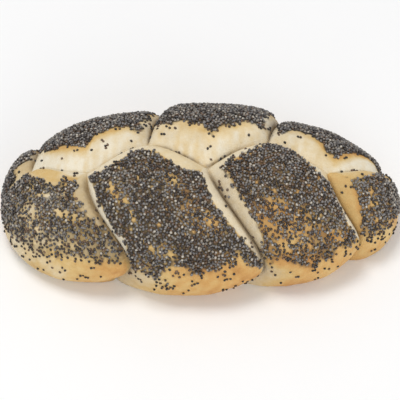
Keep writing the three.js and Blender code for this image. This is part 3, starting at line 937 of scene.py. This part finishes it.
def make_seeds(shift):
    """The seeds as joined meshes, one for each kind."""
    draw = np.random.default_rng(SEED_DRAW)
    form, faces = seed_form()
    places, normal, height, pick, lone = place_seeds(draw)
    points = shape_seeds(draw, form, places, normal, height, shift)
    tones_and_top_light = draw.uniform(size=len(points)) - LONE_DARKER * lone
    # Each seed's own random tone, with painted light on its top and painted shade on its underside
    tones_and_top_light = tones_and_top_light[:, None] + SEED_TOP_PAINTED_LIGHT * form[None, :, 2]
    low, high = (np.array(corner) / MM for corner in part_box(NODE))
    inside = ((points > low) & (points < high)).all((1, 2))
    pieces = []
    start = 0.0
    for name, share in SEED_KINDS.items():
        mine = inside & (pick >= start) & (pick < start + share)
        start += share
        pieces.append(join_seeds(name, points[mine], faces, tones_and_top_light[mine]))
    return pieces


# Materials
class Nodes:
    """Short names for making a material's nodes."""

    def __init__(self, name):
        self.material = bpy.data.materials.new(name)
        self.material.use_nodes = True
        self.tree = self.material.node_tree
        self.shader = self.tree.nodes["Principled BSDF"]

    def add(self, kind, **settings):
        node = self.tree.nodes.new(kind)
        for key, value in settings.items():
            setattr(node, key, value)
        return node

    def fill(self, node, values):
        """Sets a node's inputs to numbers or colours, or links other nodes' outputs to them."""
        for key, value in values.items():
            if isinstance(value, bpy.types.NodeSocket):
                self.tree.links.new(value, node.inputs[key])
            else:
                node.inputs[key].default_value = value

    def value(self, name):
        return self.add("ShaderNodeAttribute", attribute_name=name).outputs["Fac"]

    def place(self):
        return self.add("ShaderNodeTexCoord").outputs["Object"]

    def noise(self, size, detail=4.0, roughness=0.55):
        """Noise whose features are about size millimetres large."""
        node = self.add("ShaderNodeTexNoise")
        self.fill(node, {"Scale": 1 / (size * MM), "Detail": detail, "Roughness": roughness})
        self.fill(node, {"Vector": self.place()})
        return node.outputs["Fac"]

    def cells(self, size):
        """Little cells of about size millimetres."""
        node = self.add("ShaderNodeTexVoronoi", feature="F1")
        self.fill(node, {"Scale": 1 / (size * MM), "Vector": self.place()})
        return node.outputs["Distance"]

    def math(self, operation, first, second):
        node = self.add("ShaderNodeMath", operation=operation)
        self.fill(node, {0: first, 1: second})
        return node.outputs[0]

    def spread(self, value, low, high):
        """A value from 0 to 1, spread from low to high."""
        return self.math("ADD", self.math("MULTIPLY", value, high - low), low)

    def uneven(self, size, low, high):
        """Noise of a size in millimetres, spread from low to high."""
        return self.spread(self.noise(size), low, high)

    def ramp(self, value, stops):
        node = self.add("ShaderNodeValToRGB")
        elements = node.color_ramp.elements
        while len(elements) < len(stops):
            elements.new(0.5)
        for element, (position, colour) in zip(elements, stops):
            element.position = position
            element.color = colour
        self.fill(node, {"Fac": value})
        return node.outputs["Color"]

    def mix(self, first, second, share):
        """A colour mixed with another. The node's inputs 6 and 7 and its output 2 are its colours."""
        node = self.add("ShaderNodeMix", data_type="RGBA", clamp_factor=True)
        self.fill(node, {0: share, 6: first, 7: second})
        return node.outputs[2]

    def bump(self, heights, distance):
        """A bumpy normal, with a height in millimetres."""
        node = self.add("ShaderNodeBump")
        self.fill(node, {"Distance": distance * MM, "Strength": 1.0, "Height": heights})
        return node.outputs["Normal"]


# The crust's looks. Unevenness has a size in millimetres, and a lowest and a highest value.
CRUST_COLOURS = [
    (0.0, rgb(239, 229, 205)),
    (0.25, rgb(229, 207, 163)),
    (0.5, rgb(218, 184, 120)),
    (0.75, rgb(208, 160, 92)),
    (1.0, rgb(182, 124, 60)),
]
# Painted shade mixes the crust towards this olive-brown
PAINTED_SHADE_COLOUR = rgb(98, 70, 36)
# The painted shadow of the seeds on the crust between them
SEED_SHADOW_COLOUR = rgb(58, 52, 42)
BAKED_PATCHES = (2.6, -0.16, 0.16)
BAKED_SPECKS = (0.5, -0.1, 0.1)
SHADE_UNEVEN = (1.2, 0.7, 1.3)
SEED_SHADOW_UNEVEN = (0.8, 0.75, 1.1)
CRUST_ROUGHNESS = (3.0, 0.42, 0.72)
CRUST_GLOSS = 0.35
SKIN_FINE = {"size": 0.7, "detail": 6.0, "roughness": 0.65}  # the fine bumps of its skin
SKIN_SOFT = 3.5  # the size of the softer ones
SKIN_SOFT_SHARE = 1.6
SKIN_HEIGHT = 0.28

# The seeds' looks: the dark and the pale end of each kind's colour. A seed's top lies towards the pale end
# as painted light, its underside towards the dark end as painted shade.
SEED_COLOURS = {
    "seeds_brown": (rgb(50, 36, 26), rgb(118, 92, 70)),
    "seeds_dark": (rgb(26, 21, 18), rgb(66, 56, 50)),
    "seeds_blue": (rgb(48, 46, 49), rgb(127, 123, 120)),
    "seeds_slate": (rgb(56, 52, 48), rgb(147, 139, 128)),
    # The pale kind: pale seeds, and painted highlights on the seeds
    "seeds_pale_and_glint": (rgb(110, 104, 96), rgb(190, 182, 168)),
}
SEED_UNEVEN = (0.3, -0.25, 0.25)
SEED_ROUGHNESS = (0.4, 0.34, 0.6)
SEED_GLOSS = 0.6
SEED_PITS = 0.16
SEED_PIT_DEPTH = 0.03

FLOOR_COLOURS = [(0.0, rgb(249, 249, 248)), (1.0, rgb(252, 252, 251))]
FLOOR_PATCHES = 60.0
FLOOR_ROUGHNESS = 0.9
FLOOR_GLOSS = 0.1


def crust_material():
    nodes = Nodes("baked_crust")
    brown = nodes.math("ADD", nodes.value("baked"), nodes.uneven(*BAKED_PATCHES))
    brown = nodes.math("ADD", brown, nodes.uneven(*BAKED_SPECKS))
    # Painted shade: the shade value, made uneven, mixes the crust towards the olive-brown
    shade = nodes.math("MULTIPLY", nodes.value("shade"), nodes.uneven(*SHADE_UNEVEN))
    colour = nodes.mix(nodes.ramp(brown, CRUST_COLOURS), PAINTED_SHADE_COLOUR, shade)
    # Painted shadow of the seeds, from the coat value
    dark = nodes.math("MULTIPLY", nodes.value("coat"), nodes.uneven(*SEED_SHADOW_UNEVEN))
    soft = nodes.math("MULTIPLY", nodes.noise(SKIN_SOFT), SKIN_SOFT_SHARE)
    skin = nodes.math("ADD", nodes.noise(**SKIN_FINE), soft)
    nodes.fill(nodes.shader, {
        "Base Color": nodes.mix(colour, SEED_SHADOW_COLOUR, dark),
        "Roughness": nodes.uneven(*CRUST_ROUGHNESS),
        "Specular IOR Level": CRUST_GLOSS,
        "Normal": nodes.bump(skin, SKIN_HEIGHT),
    })
    return nodes.material


def seed_material(name):
    nodes = Nodes(name)
    dark, pale = SEED_COLOURS[name]
    # The tone value is each seed's own random tone plus painted light on its top and painted shade below
    tone = nodes.math("ADD", nodes.value("tone"), nodes.uneven(*SEED_UNEVEN))
    nodes.fill(nodes.shader, {
        "Base Color": nodes.ramp(tone, [(0.0, dark), (1.0, pale)]),
        "Roughness": nodes.uneven(*SEED_ROUGHNESS),
        "Specular IOR Level": SEED_GLOSS,
        "Normal": nodes.bump(nodes.cells(SEED_PITS), SEED_PIT_DEPTH),
    })
    return nodes.material


def floor_material():
    nodes = Nodes("pale_floor")
    nodes.fill(nodes.shader, {
        "Base Color": nodes.ramp(nodes.noise(FLOOR_PATCHES), FLOOR_COLOURS),
        "Roughness": FLOOR_ROUGHNESS,
        "Specular IOR Level": FLOOR_GLOSS,
    })
    return nodes.material


# Camera, light and floor
PHOTO_WIDTH = 400
PHOTO_SCALE = 2.335  # pixels of the photograph to a millimetre, at the target
PHOTO_MIDDLE = Vector((200.5, 193.8))  # where the target shows, in pixels of the photograph
CAMERA_ELEVATION = math.radians(55.5)
CAMERA_DISTANCE = 0.7
CAMERA_TARGET = Vector((0, 0, 0.02))
SENSOR = 36
FLOOR_SIZE = 6
WORLD_COLOUR = rgb(250, 250, 252)
WORLD_STRENGTH = 0.58
KEY = {"place": (-0.16, 0.05, 0.9), "size": 0.3, "power": 3.4}
FILL = {"place": (0.4, -0.9, 0.36), "size": 0.9, "power": 4.0}


def make_camera():
    data = bpy.data.cameras.new("camera")
    camera = add_object("camera", data)
    back = Vector((0, -math.cos(CAMERA_ELEVATION), math.sin(CAMERA_ELEVATION)))
    camera.location = CAMERA_TARGET + back * CAMERA_DISTANCE
    camera.rotation_euler = (-back).to_track_quat("-Z", "Y").to_euler()
    data.sensor_width = SENSOR
    data.lens = SENSOR * PHOTO_SCALE * CAMERA_DISTANCE / MM / PHOTO_WIDTH
    data.shift_x = (PHOTO_WIDTH / 2 - PHOTO_MIDDLE.x) / PHOTO_WIDTH
    data.shift_y = (PHOTO_MIDDLE.y - PHOTO_WIDTH / 2) / PHOTO_WIDTH
    bpy.context.scene.camera = camera


def make_light(name, place, size, power):
    data = bpy.data.lights.new(name, "AREA")
    data.size = size
    data.energy = power
    light = add_object(name, data)
    light.location = place
    light.rotation_euler = (CAMERA_TARGET - Vector(place)).to_track_quat("-Z", "Y").to_euler()


def make_stage():
    bpy.ops.mesh.primitive_plane_add(size=FLOOR_SIZE)
    floor = bpy.context.object
    floor.name = "floor"
    floor.data.materials.append(floor_material())
    world = bpy.data.worlds.new("studio")
    world.use_nodes = True
    background = world.node_tree.nodes["Background"]
    background.inputs["Color"].default_value = WORLD_COLOUR
    background.inputs["Strength"].default_value = WORLD_STRENGTH
    bpy.context.scene.world = world
    make_light("key", **KEY)
    make_light("fill", **FILL)
    bpy.context.scene.view_settings.view_transform = "Standard"


make_camera()
make_stage()
shift = crust_shift()
crust = make_crust(shift)
crust.data.materials.append(crust_material())
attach(crust, "root")
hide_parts(NODE)
for seeds in make_seeds(shift):
    seeds.data.materials.append(seed_material(seeds.name))
    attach(seeds, "root")
